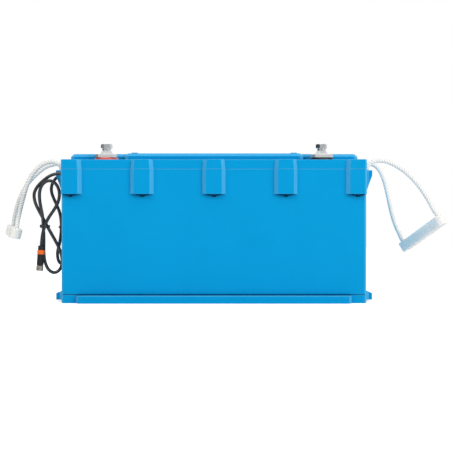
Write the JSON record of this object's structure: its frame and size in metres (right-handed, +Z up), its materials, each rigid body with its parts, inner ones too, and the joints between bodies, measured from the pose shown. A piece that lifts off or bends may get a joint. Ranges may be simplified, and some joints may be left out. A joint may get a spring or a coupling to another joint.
{
  "type": "rechargeable battery pack",
  "caption": "Long box battery pack of prismatic cells with bolted top terminals, rope handles on both ends and coiled signal cables with round plugs.",
  "frame": {"origin": "middle of the underside", "axes": "+X along the length towards the negative terminal, +Y to the back, +Z up; the terminals are towards -Y"},
  "size_m": [0.7304, 0.216, 0.2498],
  "materials": {
    "blue_moulding": "satin",
    "grip_moulding": "satin",
    "rope": "woven",
    "black_rubber": "matte",
    "red_moulding": "satin",
    "black_moulding": "satin",
    "orange_moulding": "satin",
    "blue_ring": "satin",
    "plated_steel": "satin",
    "plated_copper": "satin",
    "aluminium_case": "satin",
    "copper_alloy": "polished",
    "white_moulding": "matte",
    "board_laminate": "satin"
  },
  "bodies": {
    "battery": {"case": "blue_moulding", "lid": "blue_moulding", "left_rope_knots": "rope", "right_rope_knots": "rope", "lid_seal": "black_rubber", "front_grommet": "black_rubber", "rear_grommet": "black_rubber", "front_cable": "black_rubber", "rear_cable": "black_rubber", "inner_leads": "black_rubber", "base_pad": "black_rubber", "positive_collar": "red_moulding", "negative_collar": "black_moulding", "front_plug_body": "black_moulding", "rear_plug_body": "black_moulding", "front_cable_tie": "black_moulding", "rear_cable_tie": "black_moulding", "front_plug_contacts": "black_moulding", "rear_plug_contacts": "black_moulding", "board_parts": "black_moulding", "front_plug_band": "orange_moulding", "rear_plug_band": "blue_ring", "lid_screws": "plated_steel", "compression_bands": "plated_steel", "busbar_nuts": "plated_steel", "link_screws": "plated_steel", "board_screws": "plated_steel", "positive_terminal": "plated_copper", "negative_terminal": "plated_copper", "positive_link": "plated_copper", "negative_link": "plated_copper", "busbars": "plated_copper", "cell_1": "aluminium_case", "cell_2": "aluminium_case", "cell_3": "aluminium_case", "cell_4": "aluminium_case", "cell_5": "aluminium_case", "cell_6": "aluminium_case", "cell_7": "aluminium_case", "cell_8": "aluminium_case", "end_plates": "aluminium_case", "terminal_nuts": "copper_alloy", "cell_separators": "white_moulding", "carrier_tray": "white_moulding", "balancing_board": "board_laminate"},
    "left_handle": {"left_grip": "grip_moulding", "left_rope": "rope"},
    "right_handle": {"right_grip": "grip_moulding", "right_rope": "rope"},
    "positive_washer": {"positive_spring_washer": "plated_steel"},
    "positive_bolt": {"positive_bolt": "plated_steel"},
    "negative_washer": {"negative_spring_washer": "plated_steel"},
    "negative_bolt": {"negative_bolt": "plated_steel"},
    "front_plug_nut": {"front_plug_nut": "plated_steel"},
    "rear_plug_nut": {"rear_plug_nut": "plated_steel"}
  },
  "joints": [
    {"name": "left_handle_swing", "type": "hinge", "parent": "battery", "child": "left_handle", "pos_m": [-0.2445, 0, 0.215], "axis": [0, 1, 0], "range_deg": [0, 90], "deforming": ["left_rope"]},
    {"name": "right_handle_swing", "type": "hinge", "parent": "battery", "child": "right_handle", "pos_m": [0.2445, 0, 0.215], "axis": [0, -1, 0], "range_deg": [0, 90], "deforming": ["right_rope"]},
    {"name": "positive_bolt_lift", "type": "slide", "parent": "battery", "child": "positive_washer", "axis": [0, 0, 1], "range_m": [0, 0.012]},
    {"name": "positive_bolt_turn", "type": "hinge", "parent": "positive_washer", "child": "positive_bolt", "pos_m": [-0.17, -0.073, 0.2398], "axis": [0, 0, 1], "range_deg": [0, 2881]},
    {"name": "negative_bolt_lift", "type": "slide", "parent": "battery", "child": "negative_washer", "axis": [0, 0, 1], "range_m": [0, 0.012]},
    {"name": "negative_bolt_turn", "type": "hinge", "parent": "negative_washer", "child": "negative_bolt", "pos_m": [0.17, -0.073, 0.2398], "axis": [0, 0, 1], "range_deg": [0, 2881]},
    {"name": "front_plug_nut_turn", "type": "hinge", "parent": "battery", "child": "front_plug_nut", "pos_m": [-0.27433, -0.08072, 0.05448], "axis": [-0.069, -0.0063, -0.9976], "continuous": true},
    {"name": "rear_plug_nut_turn", "type": "hinge", "parent": "battery", "child": "rear_plug_nut", "pos_m": [-0.24554, 0.01339, 0.07681], "axis": [-0.0154, -0.0231, -0.9996], "continuous": true}
  ],
  "couplings": [
    {"joint": "positive_bolt_turn", "follows": "positive_bolt_lift", "rad_per_m": 4188.8},
    {"joint": "negative_bolt_turn", "follows": "negative_bolt_lift", "rad_per_m": 4188.8}
  ]
}
